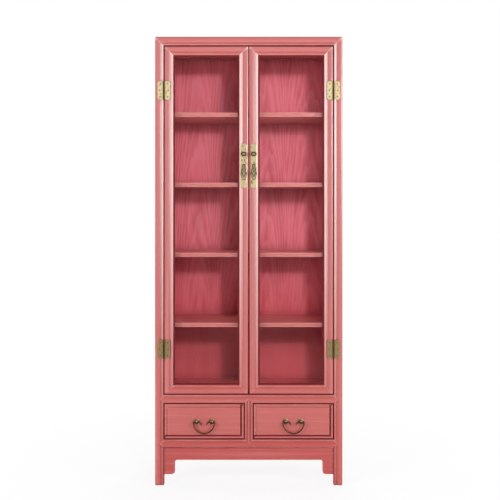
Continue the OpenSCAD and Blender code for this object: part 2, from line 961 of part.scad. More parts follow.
module front_groove_cut() {
    bead = 2 * front_bead_w;
    inset = bead + 2 * front_groove_w;
    translate([0, -over, 0]) upright(over + front_groove_d) difference() {
        square([drawer_w - bead, drawer_h - bead], center = true);
        square([drawer_w - inset, drawer_h - inset], center = true);
    }
}

module drawer_front() {
    w = front_bead_w;
    color(paint) difference() {
        translate([drawer_x, drawer_y, drawer_z]) difference() {
            upright(front_t) square([drawer_w, drawer_h], center = true);
            front_groove_cut();
            for (turn = [0, 180]) rotate([0, turn, 0]) translate([0, 0, drawer_h / 2 - w]) front_bead_cut(drawer_w);
            for (turn = [90, 270]) rotate([0, turn, 0]) translate([0, 0, drawer_w / 2 - w]) front_bead_cut(drawer_h);
        }
        drawer_bottom_shape();
    }
}

module drawer_bottom_shape() {
    reach = box_w - 2 * side_t + 2 * bottom_lap;
    translate([drawer_x - reach / 2, box_y - bottom_lap, bottom_z])
        cube([reach, box_end - box_y + bottom_lap, bottom_t]);
}

module drawer_box() {
    back_z = bottom_z + bottom_t;
    color(paint_dark) {
        difference() {
            for (side = [-1, 1])
                translate([drawer_x + side * (box_w - side_t) / 2 - side_t / 2, box_y, box_z])
                    cube([side_t, box_end - box_y, box_h]);
            drawer_bottom_shape();
        }
        translate([drawer_x - box_w / 2 + side_t, box_end - side_t, back_z])
            cube([box_w - 2 * side_t, side_t, box_z + box_h - back_z]);
    }
}

module drawer_bottom() {
    color(paint_dark) drawer_bottom_shape();
}

// Drawer handles: a bail that swings in two balls on rosettes

module at_balls() {
    for (side = [-1, 1]) translate([drawer_x + side * ball_spacing / 2, drawer_y, drawer_z]) children();
}

// Turned profile of a ball on its neck and rosette, from the drawer outwards
module ball_profile() {
    r = rosette_d / 2;
    dome_r = (r * r + rosette_t * rosette_t) / (2 * rosette_t);
    intersection() {
        translate([0, rosette_t - dome_r]) circle(r = dome_r);
        square([r, rosette_t + over]);
    }
    square([ball_d / 3, ball_out]);
    intersection() {
        translate([0, ball_out]) circle(d = ball_d);
        square([ball_d, ball_out + ball_d]);
    }
}

module drawer_bail_posts() {
    color(brass_dark) at_balls() difference() {
        rotate([90, 0, 0]) rotate_extrude() ball_profile();
        translate([0, -ball_out, 0]) rotate([0, 90, 0])
            cylinder(d = bail_d + pin_play, h = 2 * ball_d, center = true);
    }
}

// Quarter or other arc of rod in the XZ plane, round its own middle
module rod_arc(r, from, sweep) {
    rotate([90, 0, 0]) rotate([0, 0, from]) rotate_extrude(angle = sweep)
        translate([r, 0]) circle(d = bail_d);
}

// End of the bail, from its straight drop outside the ball to the curled tip inside it
module bail_end(axis_l) {
    tip_step = 0.3;
    elbow_x = ball_spacing / 2 + axis_l / 2;
    curl_x = ball_spacing / 2 - axis_l / 2;
    curl_angle = 65;
    translate([elbow_x + elbow_r, 0, -elbow_r - bail_drop]) cylinder(d = bail_d, h = bail_drop);
    translate([elbow_x, 0, -elbow_r]) rod_arc(elbow_r, 0, 90);
    translate([ball_spacing / 2, 0, 0]) rotate([0, 90, 0]) cylinder(d = bail_d, h = axis_l, center = true);
    translate([curl_x, 0, -curl_r]) {
        rod_arc(curl_r, 90, curl_angle);
        rotate([0, -90 - curl_angle, 0]) translate([curl_r, 0, -over])
            cylinder(d1 = bail_d - tip_step, d2 = tip_d, h = tip_l + over);
    }
}

module drawer_bail() {
    axis_l = ball_d + 2 * knuckle_gap;
    color(brass_dark) translate([drawer_x, ball_y, drawer_z]) {
        translate([0, 0, -elbow_r - bail_drop])
            rod_arc((ball_spacing + axis_l) / 2 + elbow_r, 180, 180);
        for (side = [0, 1]) mirror([side, 0, 0]) bail_end(axis_l);
    }
}

// Right-hand pieces of a door and of a drawer by name

module door_part(part) {
    if (part == "hinge_stile") door_hinge_stile();
    if (part == "meeting_stile") door_meeting_stile();
    if (part == "top_rail") door_top_rail();
    if (part == "bottom_rail") door_bottom_rail();
    if (part == "glass") door_glass();
    if (part == "glass_beads") door_glass_beads();
    if (part == "hinge_leaves") door_hinge_leaves();
    if (part == "pull_plate") door_pull_plate();
    if (part == "knob") door_knob();
    if (part == "pendant_bracket") door_pendant_bracket();
    if (part == "pendant") door_pendant();
}

module drawer_part(part) {
    if (part == "front") drawer_front();
    if (part == "box") drawer_box();
    if (part == "bottom") drawer_bottom();
    if (part == "bail_posts") drawer_bail_posts();
    if (part == "bail") drawer_bail();
}

// The case
for (side = ["left", "right"]) {
    on_side(side) post_front();
    on_side(side) post_rear();
    on_side(side) rails_side();
    on_side(side) side_panels();
}
rail_top_front();
rail_mid_front();
rail_bottom_front();
rails_rear();
centre_stile();
top_panel();
top_battens();
back_panels();
cabinet_floor();
base_board();
for (i = [1 : shelf_count])
    shelf(i);
shelf_cleats();
apron_front();
aprons_side();
drawer_runners();
hinge_leaves_posts();
hinge_pins();

// The doors and the drawers
for (side = ["left", "right"]) {
    for (part = door_parts)
        on_side(side) door_part(part);
    for (part = drawer_parts)
        on_side(side) drawer_part(part);
}
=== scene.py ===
import json
from math import radians
from random import Random

import bmesh
import bpy
from mathutils import Matrix, Vector

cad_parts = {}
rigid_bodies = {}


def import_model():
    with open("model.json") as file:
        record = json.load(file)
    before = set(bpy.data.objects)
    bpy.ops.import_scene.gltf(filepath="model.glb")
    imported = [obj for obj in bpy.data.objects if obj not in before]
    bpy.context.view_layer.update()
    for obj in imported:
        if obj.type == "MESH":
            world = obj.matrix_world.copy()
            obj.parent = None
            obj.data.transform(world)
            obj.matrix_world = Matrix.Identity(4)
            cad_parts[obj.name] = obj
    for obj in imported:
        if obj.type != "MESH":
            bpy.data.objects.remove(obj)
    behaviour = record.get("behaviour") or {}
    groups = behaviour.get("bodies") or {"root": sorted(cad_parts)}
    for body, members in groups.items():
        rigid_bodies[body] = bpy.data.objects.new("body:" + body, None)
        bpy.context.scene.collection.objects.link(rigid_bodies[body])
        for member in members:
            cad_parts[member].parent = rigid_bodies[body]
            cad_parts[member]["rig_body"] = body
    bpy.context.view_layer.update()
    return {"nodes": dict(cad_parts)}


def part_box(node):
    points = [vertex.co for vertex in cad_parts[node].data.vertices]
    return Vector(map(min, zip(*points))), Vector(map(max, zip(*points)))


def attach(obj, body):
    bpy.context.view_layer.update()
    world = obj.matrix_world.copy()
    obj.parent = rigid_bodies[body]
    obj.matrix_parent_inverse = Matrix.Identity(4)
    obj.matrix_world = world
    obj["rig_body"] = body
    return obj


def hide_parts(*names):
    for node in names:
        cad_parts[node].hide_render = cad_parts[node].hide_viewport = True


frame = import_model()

scene = bpy.context.scene
cadNodes = frame["nodes"]
sides = (("left", -1), ("right", 1))
print("frame loaded:", len(cadNodes), "nodes")


# ---- camera, floor and light ----

camera = {
    "distance": 3.5,  # from the front of the cabinet
    "height": 1.172,
    "viewWidth": 2.1277,  # what the picture's width spans at the front
    "shiftX": 0.0025,
    "shiftY": -0.08,
    "sensor": 36,
}

# The key stands where no pane mirrors it, the wings light the sides
lamps = {
    "left": {"at": (-3.05, -2.75, 1.95), "size": (0.8, 1.0), "power": 92, "gleam": False},
    "key": {"at": (0.86, -3.7, 2.1), "size": (0.3, 0.3), "power": 53, "gleam": False},
    "right": {"at": (3.3, -2.5, 1.9), "size": (0.5, 1.1), "power": 72, "gleam": True},
    "back": {"at": (0.6, 2.9, 3.5), "size": (2.4, 1.6), "power": 90, "gleam": False},
    "wing_left": {"at": (-3.9, 0.9, 2.0), "size": (1.2, 1.6), "power": 42, "gleam": False},
    "wing_right": {"at": (3.9, 0.9, 2.0), "size": (1.2, 1.6), "power": 42, "gleam": False},
}

studio = {
    "middle": (0, 0, 1.1),  # what the lamps are aimed at
    "tint": (1.0, 0.985, 0.97, 1),
    "room": 0.035,  # what lights the cabinet from all round
    "sheen": 0.42,  # what it reflects
    "backdrop": 1.0,
    "white": (1, 1, 1, 1),
}

ground = {
    "half": 20,
    "colour": (0.9, 0.9, 0.9, 1),
    "near": 0.3,  # from near to far it turns plain white, away from the shadow
    "far": 1.6,
    "least": 0.88,
    "glow": 1.0,
}


def makeCamera():
    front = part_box("rail_top_front")[0].y
    data = bpy.data.cameras.new("camera")
    data.sensor_width = camera["sensor"]
    data.lens = camera["sensor"] * camera["distance"] / camera["viewWidth"]
    data.shift_x = camera["shiftX"]
    data.shift_y = camera["shiftY"]
    made = bpy.data.objects.new("camera", data)
    made.location = (0, front - camera["distance"], camera["height"])
    made.rotation_euler = (radians(90), 0, 0)
    scene.collection.objects.link(made)
    scene.camera = made


def makeLamps():
    for name, spec in lamps.items():
        data = bpy.data.lights.new("softbox_" + name, "AREA")
        data.shape = "RECTANGLE"
        data.size, data.size_y = spec["size"]
        data.energy = spec["power"]
        made = bpy.data.objects.new("softbox_" + name, data)
        made.location = spec["at"]
        aim = Vector(studio["middle"]) - made.location
        made.rotation_euler = aim.to_track_quat("-Z", "Y").to_euler()
        made.visible_glossy = spec["gleam"]
        scene.collection.objects.link(made)


def newNode(tree, kind, inputs=None, **settings):
    made = tree.nodes.new(kind)
    for key, value in settings.items():
        setattr(made, key, value)
    for key, value in (inputs or {}).items():
        if isinstance(value, bpy.types.NodeSocket):
            tree.links.new(value, made.inputs[key])
        else:
            made.inputs[key].default_value = value
    return made


def compute(tree, operation, first, second=0.0, third=0.0):
    inputs = {0: first, 1: second, 2: third}
    return newNode(tree, "ShaderNodeMath", inputs, operation=operation).outputs[0]


# Mixes two shaders by a factor
def mixShader(tree, factor, first, second):
    inputs = {0: factor, 1: first.outputs[0], 2: second.outputs[0]}
    return newNode(tree, "ShaderNodeMixShader", inputs)


# 1 where the camera looks at a surface, straight or through the panes
def seenDirectly(tree, path):
    bounces = compute(tree, "ADD", path.outputs["Diffuse Depth"], path.outputs["Glossy Depth"])
    plain = compute(tree, "LESS_THAN", bounces, 0.5)
    through = compute(tree, "MULTIPLY", path.outputs["Is Transmission Ray"], plain)
    return compute(tree, "MAXIMUM", path.outputs["Is Camera Ray"], through)


def makeWorld():
    world = bpy.data.worlds.new("studio")
    world.use_nodes = True
    tree = world.node_tree
    tree.nodes.clear()
    path = newNode(tree, "ShaderNodeLightPath")
    room, sheen, backdrop = [
        newNode(tree, "ShaderNodeBackground", {"Color": colour, "Strength": studio[level]})
        for level, colour in (("room", studio["tint"]), ("sheen", studio["white"]),
                              ("backdrop", studio["white"]))
    ]
    soft = mixShader(tree, path.outputs["Is Glossy Ray"], room, sheen)
    both = mixShader(tree, seenDirectly(tree, path), soft, backdrop)
    newNode(tree, "ShaderNodeOutputWorld", {"Surface": both.outputs[0]})
    scene.world = world


def makeFloor():
    bm = bmesh.new()
    bmesh.ops.create_grid(bm, x_segments=2, y_segments=2, size=ground["half"])
    mesh = bpy.data.meshes.new("floor")
    bm.to_mesh(mesh)
    bm.free()
    floor = bpy.data.objects.new("floor", mesh)
    material = bpy.data.materials.new("paleFloor")
    material.use_nodes = True
    tree = material.node_tree
    tree.nodes.clear()
    path = newNode(tree, "ShaderNodeLightPath")
    place = newNode(tree, "ShaderNodeTexCoord").outputs["Object"]
    away = newNode(tree, "ShaderNodeVectorMath", {0: place}, operation="LENGTH").outputs["Value"]
    limits = {"Value": away, "From Min": ground["near"], "From Max": ground["far"],
              "To Min": ground["least"]}
    blend = newNode(tree, "ShaderNodeMapRange", limits, interpolation_type="SMOOTHSTEP")
    factor = compute(tree, "MULTIPLY", seenDirectly(tree, path), blend.outputs["Result"])
    lit = newNode(tree, "ShaderNodeBsdfDiffuse", {"Color": ground["colour"]})
    glow = newNode(tree, "ShaderNodeEmission",
                   {"Color": studio["white"], "Strength": ground["glow"]})
    both = mixShader(tree, factor, lit, glow)
    newNode(tree, "ShaderNodeOutputMaterial", {"Surface": both.outputs[0]})
    mesh.materials.append(material)
    scene.collection.objects.link(floor)


makeCamera()
makeLamps()
makeWorld()
makeFloor()
scene.view_settings.view_transform = "Standard"
print("camera, lamps and floor ready")


# ---- what the finishes are made with ----

def newMaterial(name):
    material = bpy.data.materials.new(name)
    material.use_nodes = True
    tree = material.node_tree
    tree.nodes.clear()
    shader = newNode(tree, "ShaderNodeBsdfPrincipled")
    newNode(tree, "ShaderNodeOutputMaterial", {"Surface": shader.outputs[0]})
    return material, tree, shader


def mixColour(tree, factor, first, second):
    made = tree.nodes.new("ShaderNodeMix")
    made.data_type = "RGBA"
    for index, value in ((0, factor), (6, first), (7, second)):
        if isinstance(value, bpy.types.NodeSocket):
            tree.links.new(value, made.inputs[index])
        else:
            made.inputs[index].default_value = (*value, 1)
    return made.outputs[2]


# Steps a value from 0 at low to 1 at high
def fade(tree, value, low, high):
    limits = {"Value": value, "From Min": low, "From Max": high}
    made = newNode(tree, "ShaderNodeMapRange", limits, interpolation_type="SMOOTHSTEP")
    return made.outputs["Result"]


# A fade over a span, up to an amount
def share(tree, value, span, amount):
    return compute(tree, "MULTIPLY", fade(tree, value, *span), amount)


# Noise on the object's own coordinates, drawn out along one axis
def streaks(tree, along, size, length, detail=4, rough=0.55, shift=0.0, warp=0.0):
    place = newNode(tree, "ShaderNodeTexCoord").outputs["Object"]
    stretch = Vector((1, 1, 1)) / size
    stretch["XYZ".index(along)] = 1 / length
    mapping = newNode(tree, "ShaderNodeMapping",
                      {"Vector": place, "Scale": stretch, "Location": (shift, shift, shift)})
    made = newNode(tree, "ShaderNodeTexNoise",
                   {"Vector": mapping.outputs[0], "Scale": 1.0, "Detail": detail,
                    "Roughness": rough, "Distortion": warp})
    return made.outputs["Fac"]


# 1 in a piece's own hollows, or on its edges where inside is set
def hollows(tree, reach, low, high, inside=False):
    made = newNode(tree, "ShaderNodeAmbientOcclusion", {"Distance": reach}, samples=8,
                   inside=inside, only_local=inside)
    return fade(tree, made.outputs["AO"], high, low)


def objectAxes(tree):
    place = newNode(tree, "ShaderNodeTexCoord").outputs["Object"]
    return newNode(tree, "ShaderNodeSeparateXYZ", {0: place}).outputs


def objectHeight(tree):
    return objectAxes(tree)["Z"]


def squared(tree, value):
    return compute(tree, "MULTIPLY", value, value)


# How far two legs at a right angle reach
def hypotenuse(tree, first, second):
    squares = compute(tree, "ADD", squared(tree, first), squared(tree, second))
    return compute(tree, "SQRT", squares)


def bump(tree, shader, height, strength, distance):
    made = newNode(tree, "ShaderNodeBump",
                   {"Height": height, "Strength": strength, "Distance": distance})
    tree.links.new(made.outputs[0], shader.inputs["Normal"])


# ---- paint ----

outerPaint = {
    "body": (0.55, 0.147, 0.139),
    "foot": (0.49, 0.096, 0.086),  # redder towards the floor
    "apron": (0.46, 0.060, 0.054),
    "upright": (0.50, 0.152, 0.148),  # posts and stiles are paler: partly rubbed paint, partly painted highlight
    "uprightFoot": (0.51, 0.100, 0.088),
    "pale": (0.68, 0.260, 0.245),
    "deep": (0.42, 0.074, 0.072),
    "glaze": (0.15, 0.014, 0.017),  # dark glaze and painted shade in the grooves and gaps
    "rubbed": (0.92, 0.66, 0.63),  # crests rubbed pale; on the uprights partly painted highlight
    "noises": {
        "fine": {"size": 0.0022, "length": 0.22, "detail": 6},
        "broad": {"size": 0.016, "length": 0.65, "detail": 3, "shift": 3.1, "warp": 0.4},
        "patches": {"size": 0.11, "length": 0.34, "detail": 3, "shift": 7.7},
    },
    "layers": (  # a noise, its span, its strength on uprights and elsewhere, and its colour
        ("broad", (0.48, 0.72), (0.32, 0.2), "pale"),
        ("fine", (0.55, 0.75), (0.32, 0.12), "deep"),
        ("fine", (0.45, 0.27), (0.30, 0.30), "pale"),
        ("patches", (0.55, 0.75), (0.25, 0.25), "deep"),
    ),
    "footSpan": (1.1, 0.15),  # heights over which the paint turns redder
    "apronSpan": (0.20, 0.16),
    "edge": (0.008, 0.55, 0.92),
    "scuffs": {"size": 0.004, "length": 0.05, "shift": 9.1},
    "scuffSpan": (0.35, 0.60),
    "wearAndHighlightSpan": (0.2, 1.3),  # the uprights' edges are paler higher up: partly wear from hands and dusters, partly painted highlight
    "otherEdges": 0.3,
    "edgeShare": 0.8,
    "beadSpan": (0.2, 1.5),
    "beadGaps": ((0.35, 0.65), -0.2),
    "groove": (0.012, 0.36, 0.90),
    "grooveShade": 0.6,  # how dark the glaze and painted shade are in an open groove
    "glazeAndShadeShare": 0.95,
    "glazeRough": 0.25,
    "fineRough": 0.24,
    "roughness": 0.38,
    "specular": 0.5,
    "glazeSpecular": 0.1,
    "coat": 0.55,
    "coatRoughness": 0.26,
    "coatIor": 1.6,
    "relief": {"broad": 0.8, "strength": 0.35, "distance": 0.0006},
}


# Brushed coral paint with dark glaze and painted shade in the hollows, and rubbed edges that on the
# uprights are partly painted highlight
def makeOuterPaint(along, name="outerPaint", worn=0.0, glazed=0.0):
    spec = outerPaint
    material, tree, shader = newMaterial(name + along)
    noises = {kind: streaks(tree, along, **noise) for kind, noise in spec["noises"].items()}
    upright = along == "Z"
    top, foot = ("upright", "uprightFoot") if upright else ("body", "foot")
    low = fade(tree, objectHeight(tree), *spec["footSpan"])
    colour = mixColour(tree, low, spec[top], spec[foot])
    if along == "X":
        lowest = fade(tree, objectHeight(tree), *spec["apronSpan"])
        colour = mixColour(tree, lowest, colour, spec["apron"])
    for kind, span, strengths, tone in spec["layers"]:
        amount = strengths[0 if upright else 1]
        colour = mixColour(tree, share(tree, noises[kind], span, amount), colour, spec[tone])
    edges = compute(tree, "MULTIPLY", hollows(tree, *spec["edge"], inside=True), 1.0 - glazed)
    scuffed = fade(tree, streaks(tree, along, **spec["scuffs"]), *spec["scuffSpan"])
    rubbed = compute(tree, "MULTIPLY", edges, scuffed)
    # painted highlight along with wear: the uprights' edges turn paler higher up
    wearAndHighlight = fade(tree, objectHeight(tree), *spec["wearAndHighlightSpan"]) if upright else spec["otherEdges"]
    rubbed = compute(tree, "MULTIPLY", rubbed, wearAndHighlight)
    rubbed = compute(tree, "MULTIPLY", rubbed, spec["edgeShare"])
    colour = mixColour(tree, rubbed, colour, spec["rubbed"])
    # painted highlight along with wear: the uprights' beads are paler, more so higher up
    if worn:
        span, gaps = spec["beadGaps"]
        bare = compute(tree, "MULTIPLY_ADD", fade(tree, noises["broad"], *span), gaps, 1.0)
        bare = compute(tree, "MULTIPLY", bare, fade(tree, objectHeight(tree), *spec["beadSpan"]))
        colour = mixColour(tree, compute(tree, "MULTIPLY", bare, worn), colour, spec["rubbed"])
    # painted shade: hollows and the gaps between parts darken towards the glaze colour
    grooveShade = compute(tree, "MULTIPLY", hollows(tree, *spec["groove"]), spec["grooveShade"])
    grooves = compute(tree, "MAXIMUM", grooveShade, glazed)
    dark = compute(tree, "MULTIPLY", grooves, spec["glazeAndShadeShare"])
    colour = mixColour(tree, dark, colour, spec["glaze"])
    tree.links.new(colour, shader.inputs["Base Color"])
    roughness = compute(tree, "MULTIPLY_ADD", noises["fine"], spec["fineRough"],
                        spec["roughness"] - spec["fineRough"] / 2)
    dull = compute(tree, "MULTIPLY", grooves, spec["glazeRough"])
    tree.links.new(compute(tree, "ADD", roughness, dull), shader.inputs["Roughness"])
    coat = compute(tree, "MULTIPLY_ADD", grooves, -spec["coat"], spec["coat"])
    tree.links.new(coat, shader.inputs["Coat Weight"])
    specular = compute(tree, "MULTIPLY_ADD", grooves, spec["glazeSpecular"] - spec["specular"],
                       spec["specular"])
    tree.links.new(specular, shader.inputs["Specular IOR Level"])
    shader.inputs["Coat Roughness"].default_value = spec["coatRoughness"]
    shader.inputs["Coat IOR"].default_value = spec["coatIor"]
    relief = spec["relief"]
    waves = compute(tree, "MULTIPLY", noises["broad"], relief["broad"])
    height = compute(tree, "ADD", noises["fine"], waves)
    bump(tree, shader, height, relief["strength"], relief["distance"])
    return material


# ---- stained boards ----

innerPaint = {
    "body": (0.81, 0.188, 0.247),
    "pale": (0.90, 0.32, 0.375),
    "deep": (0.66, 0.119, 0.162),
    "foot": (0.60, 0.080, 0.095),  # painted shade: darker towards the floor
    # painted shade in the corners and under the shelves
    "cornerShade": (0.34, 0.040, 0.055),
    "boardWidth": 0.176,
    "heart": {"least": -0.7, "spread": 0.4, "depth": 0.004},  # where a board's rings centre
    "ringGap": 0.0075,
    "slope": 0.05,  # how much a board's rings lean, which draws its arches out
    "start": 3,  # how far along the log a board may begin
    "waves": {"size": 0.06, "length": 0.35, "detail": 3, "shift": 1.3},
    "waver": 0.022,
    "late": ((0.25, 0.85), (1.0, 0.9)),  # a ring darkens slowly and ends sharply
    "lateShare": 0.34,
    "fibre": {"size": 0.0024, "length": 0.12, "detail": 3, "rough": 0.6},
    "fibreShare": ((0.5, 0.72), 0.35),
    "cloud": {"size": 0.05, "length": 0.3, "detail": 3, "shift": 5.5},
    "cloudSpan": (0.38, 0.66),
    "boardShare": 0.25,  # how unlike each other the boards are
    "footShare": ((1.1, 0.45), 0.8),
    "seam": (0.0012, 0.0002),
    "seamShare": 0.6,
    "hollow": (0.06, 0.45, 0.95),
    "cornerShadeShare": 0.45,
    "fibreRough": 0.3,
    "roughness": 0.42,
    "specular": 0.25,
    "coat": 0.08,
    "coatRoughness": 0.3,
    "relief": {"late": 0.5, "seam": 2, "strength": 0.3, "distance": 0.0007},
}

# The same boards on the outside of the sides, back and top
boardPaint = innerPaint | {
    "body": (0.57, 0.158, 0.148),
    "pale": (0.65, 0.230, 0.212),
    "deep": (0.48, 0.102, 0.095),
    "foot": (0.52, 0.105, 0.092),
    "cornerShade": (0.16, 0.022, 0.024),
    "specular": 0.4,
    "coat": 0.35,
}


# Thin rose stain over open grain: arches of rings on boards laid side by side, with painted shade
# in the corners and towards the floor
def makeBoards(name, spec, along, across):
    material, tree, shader = newMaterial(name + along + across)
    axes = objectAxes(tree)
    run, breadth = axes[along], axes[across]
    width, heart = spec["boardWidth"], spec["heart"]
    board = compute(tree, "FLOOR", compute(tree, "DIVIDE", breadth, width))
    chance = newNode(tree, "ShaderNodeTexWhiteNoise", {"W": board}, noise_dimensions="1D")
    luck = newNode(tree, "ShaderNodeSeparateColor", {0: chance.outputs["Color"]}).outputs
    middle = compute(tree, "MULTIPLY_ADD", luck[0], heart["spread"] * width,
                     heart["least"] * width)
    offset = compute(tree, "ADD", compute(tree, "FLOORED_MODULO", breadth, width), middle)
    place = compute(tree, "ADD", run, compute(tree, "MULTIPLY", luck[1], spec["start"]))
    depth = compute(tree, "MULTIPLY_ADD", place, spec["slope"], heart["depth"])
    waves = streaks(tree, along, **spec["waves"])
    ringAt = hypotenuse(tree, offset, depth)
    ringAt = compute(tree, "MULTIPLY_ADD", waves, spec["waver"], ringAt)
    turn = compute(tree, "FRACT", compute(tree, "DIVIDE", ringAt, spec["ringGap"]))
    rise, end = [fade(tree, turn, *span) for span in spec["late"]]
    late = compute(tree, "MULTIPLY", rise, end)
    fibre = streaks(tree, along, **spec["fibre"])
    cloud = streaks(tree, along, **spec["cloud"])
    colour = mixColour(tree, fade(tree, cloud, *spec["cloudSpan"]), spec["body"], spec["deep"])
    own = compute(tree, "MULTIPLY", luck[2], spec["boardShare"])
    colour = mixColour(tree, own, colour, spec["deep"])
    rings = compute(tree, "MULTIPLY", late, spec["lateShare"])
    colour = mixColour(tree, rings, colour, spec["pale"])
    colour = mixColour(tree, share(tree, fibre, *spec["fibreShare"]), colour, spec["pale"])
    # painted shade: the boards darken towards the floor
    low = share(tree, objectHeight(tree), *spec["footShare"])
    colour = mixColour(tree, low, colour, spec["foot"])
    inBoard = compute(tree, "FLOORED_MODULO", breadth, width)
    fromMiddle = compute(tree, "ABSOLUTE", compute(tree, "SUBTRACT", inBoard, width / 2))
    seam = fade(tree, fromMiddle, *[width / 2 - inset for inset in spec["seam"]])
    colour = mixColour(tree, compute(tree, "MULTIPLY", seam, spec["seamShare"]), colour,
                       spec["deep"])
    # painted shade: corners and the undersides of shelves darkened
    cornerShade = compute(tree, "MULTIPLY", hollows(tree, *spec["hollow"]), spec["cornerShadeShare"])
    colour = mixColour(tree, cornerShade, colour, spec["cornerShade"])
    tree.links.new(colour, shader.inputs["Base Color"])
    roughness = compute(tree, "MULTIPLY_ADD", fibre, spec["fibreRough"],
                        spec["roughness"] - spec["fibreRough"] / 2)
    tree.links.new(roughness, shader.inputs["Roughness"])
    shader.inputs["Specular IOR Level"].default_value = spec["specular"]
    shader.inputs["Coat Weight"].default_value = spec["coat"]
    shader.inputs["Coat Roughness"].default_value = spec["coatRoughness"]
    relief = spec["relief"]
    grain = compute(tree, "ADD", compute(tree, "MULTIPLY", late, relief["late"]), fibre)
    sunk = compute(tree, "MULTIPLY", seam, relief["seam"])
    height = compute(tree, "SUBTRACT", grain, sunk)
    bump(tree, shader, height, relief["strength"], relief["distance"])
    return material


# ---- brass and glass ----

# What all the brasses share
patina = {
    "brushed": {"size": 0.0006, "length": 0.02, "detail": 3},
    "stains": {"size": 0.006, "length": 0.009, "detail": 5, "shift": 2.2},
    "stainSpan": (0.50, 0.72),
    "stainShare": 0.5,  # where something else wears the metal too
    "hollow": (0.009, 0.20, 0.80),
    "rim": (0.0039, 0.15, 0.51),  # a thin piercing is darker round its edges
    "tarnishAndShadeShare": 0.9,
    "brushedRough": 0.22,
    "stainRough": 0.2,
    "relief": {"strength": 0.2, "distance": 0.0002},
}

brass = {
    "bright": (0.98, 0.82, 0.46),
    "worn": (0.22, 0.125, 0.038),
    "tarnishAndShade": (0.030, 0.020, 0.010),
    "levels": ((1.25, 0.9), 0.85),  # the brass is darker lower down, so the low hinges are darker than the high ones
    "metal": 0.55,
}

# A painted shadow darkens the plates in an oval behind the pendants
plateBrass = {
    "bright": (1.0, 0.86, 0.48),
    "worn": (0.38, 0.27, 0.10),
    "tarnishAndShade": (0.020, 0.013, 0.006),
    "shade": {"middle": (0.021, 1.331), "reach": (0.0125, 0.033), "span": (1.1, 0.6)},
    "metal": 0.8,
}

agedBrass = {
    "bright": (0.58, 0.47, 0.26),
    "worn": (0.085, 0.050, 0.025),
    "tarnishAndShade": (0.012, 0.008, 0.005),
    "crown": (0.6, -0.1),  # how far up a surface faces, from bright tops, partly painted highlight, to undersides darkened as painted shade
    "metal": 1.0,
}

# The knobs are bright only on their faces, partly rubbed, partly painted highlight, and their sides
# are painted shade
knobBrass = {
    "bright": (0.72, 0.58, 0.31),
    "worn": (0.060, 0.034, 0.018),
    "tarnishAndShade": (0.012, 0.008, 0.005),
    "face": (0.995, 0.88),  # how far forward a surface faces, from painted highlight to painted shade
    "metal": 0.8,
}

darkBrass = {
    "bright": (0.17, 0.085, 0.042),
    "worn": (0.065, 0.030, 0.018),
    "tarnishAndShade": (0.012, 0.007, 0.005),
    "metal": 1.0,
}


def makeBrass(name, spec, rim=False):
    material, tree, shader = newMaterial(name)
    brushed = streaks(tree, "Z", **patina["brushed"])
    stains = streaks(tree, "Z", **patina["stains"])
    worn = fade(tree, stains, *patina["stainSpan"])
    if "levels" in spec:
        stained = compute(tree, "MULTIPLY", worn, patina["stainShare"])
        low = share(tree, objectHeight(tree), *spec["levels"])
        worn = compute(tree, "MAXIMUM", stained, low)
    # painted light: upward faces bright, undersides dark
    if "crown" in spec:
        normal = newNode(tree, "ShaderNodeNewGeometry").outputs["Normal"]
        facing = newNode(tree, "ShaderNodeSeparateXYZ", {0: normal})
        under = fade(tree, facing.outputs["Z"], *spec["crown"])
        stained = compute(tree, "MULTIPLY", worn, patina["stainShare"])
        worn = compute(tree, "MAXIMUM", stained, under)
    # painted light: forward faces bright, the sides dark
    if "face" in spec:
        normal = newNode(tree, "ShaderNodeTexCoord").outputs["Normal"]
        facing = newNode(tree, "ShaderNodeSeparateXYZ", {0: normal})
        forward = compute(tree, "MULTIPLY", facing.outputs["Y"], -1.0)
        worn = fade(tree, forward, *spec["face"])
    colour = mixColour(tree, worn, spec["bright"], spec["worn"])
    # tarnish in the hollows, with painted shade under and round what stands on the brass
    tarnishAndShade = hollows(tree, *patina["hollow"])
    if rim:
        tarnishAndShade = compute(tree, "MAXIMUM", tarnishAndShade, hollows(tree, *patina["rim"], inside=True))
    # painted shadow of the pendant: an oval on the plate behind it
    if "shade" in spec:
        axes = objectAxes(tree)
        (x, z), (wide, high) = spec["shade"]["middle"], spec["shade"]["reach"]
        fromMiddle = compute(tree, "SUBTRACT", compute(tree, "ABSOLUTE", axes["X"]), x)
        aside = compute(tree, "DIVIDE", fromMiddle, wide)
        above = compute(tree, "DIVIDE", compute(tree, "SUBTRACT", axes["Z"], z), high)
        oval = fade(tree, hypotenuse(tree, aside, above), *spec["shade"]["span"])
        tarnishAndShade = compute(tree, "MAXIMUM", tarnishAndShade, oval)
    tarnishedAndShaded = compute(tree, "MULTIPLY", tarnishAndShade, patina["tarnishAndShadeShare"])
    colour = mixColour(tree, tarnishedAndShaded, colour, spec["tarnishAndShade"])
    tree.links.new(colour, shader.inputs["Base Color"])
    shader.inputs["Metallic"].default_value = spec["metal"]
    gloss = compute(tree, "MULTIPLY_ADD", brushed, patina["brushedRough"], patina["brushedRough"])
    stained = compute(tree, "MULTIPLY", stains, patina["stainRough"])
    tree.links.new(compute(tree, "ADD", gloss, stained), shader.inputs["Roughness"])
    height = compute(tree, "ADD", brushed, stains)
    bump(tree, shader, height, patina["relief"]["strength"], patina["relief"]["distance"])
    return material


glass = {
    "tint": (0.97, 0.99, 0.98, 1),
    "ior": 1.2,  # a faint reflection, as in the photo
    "specular": 0.08,
    "smears": {"size": 0.05, "length": 0.12, "detail": 4},
    "smearRough": ((0.55, 0.8), 0.02),
}


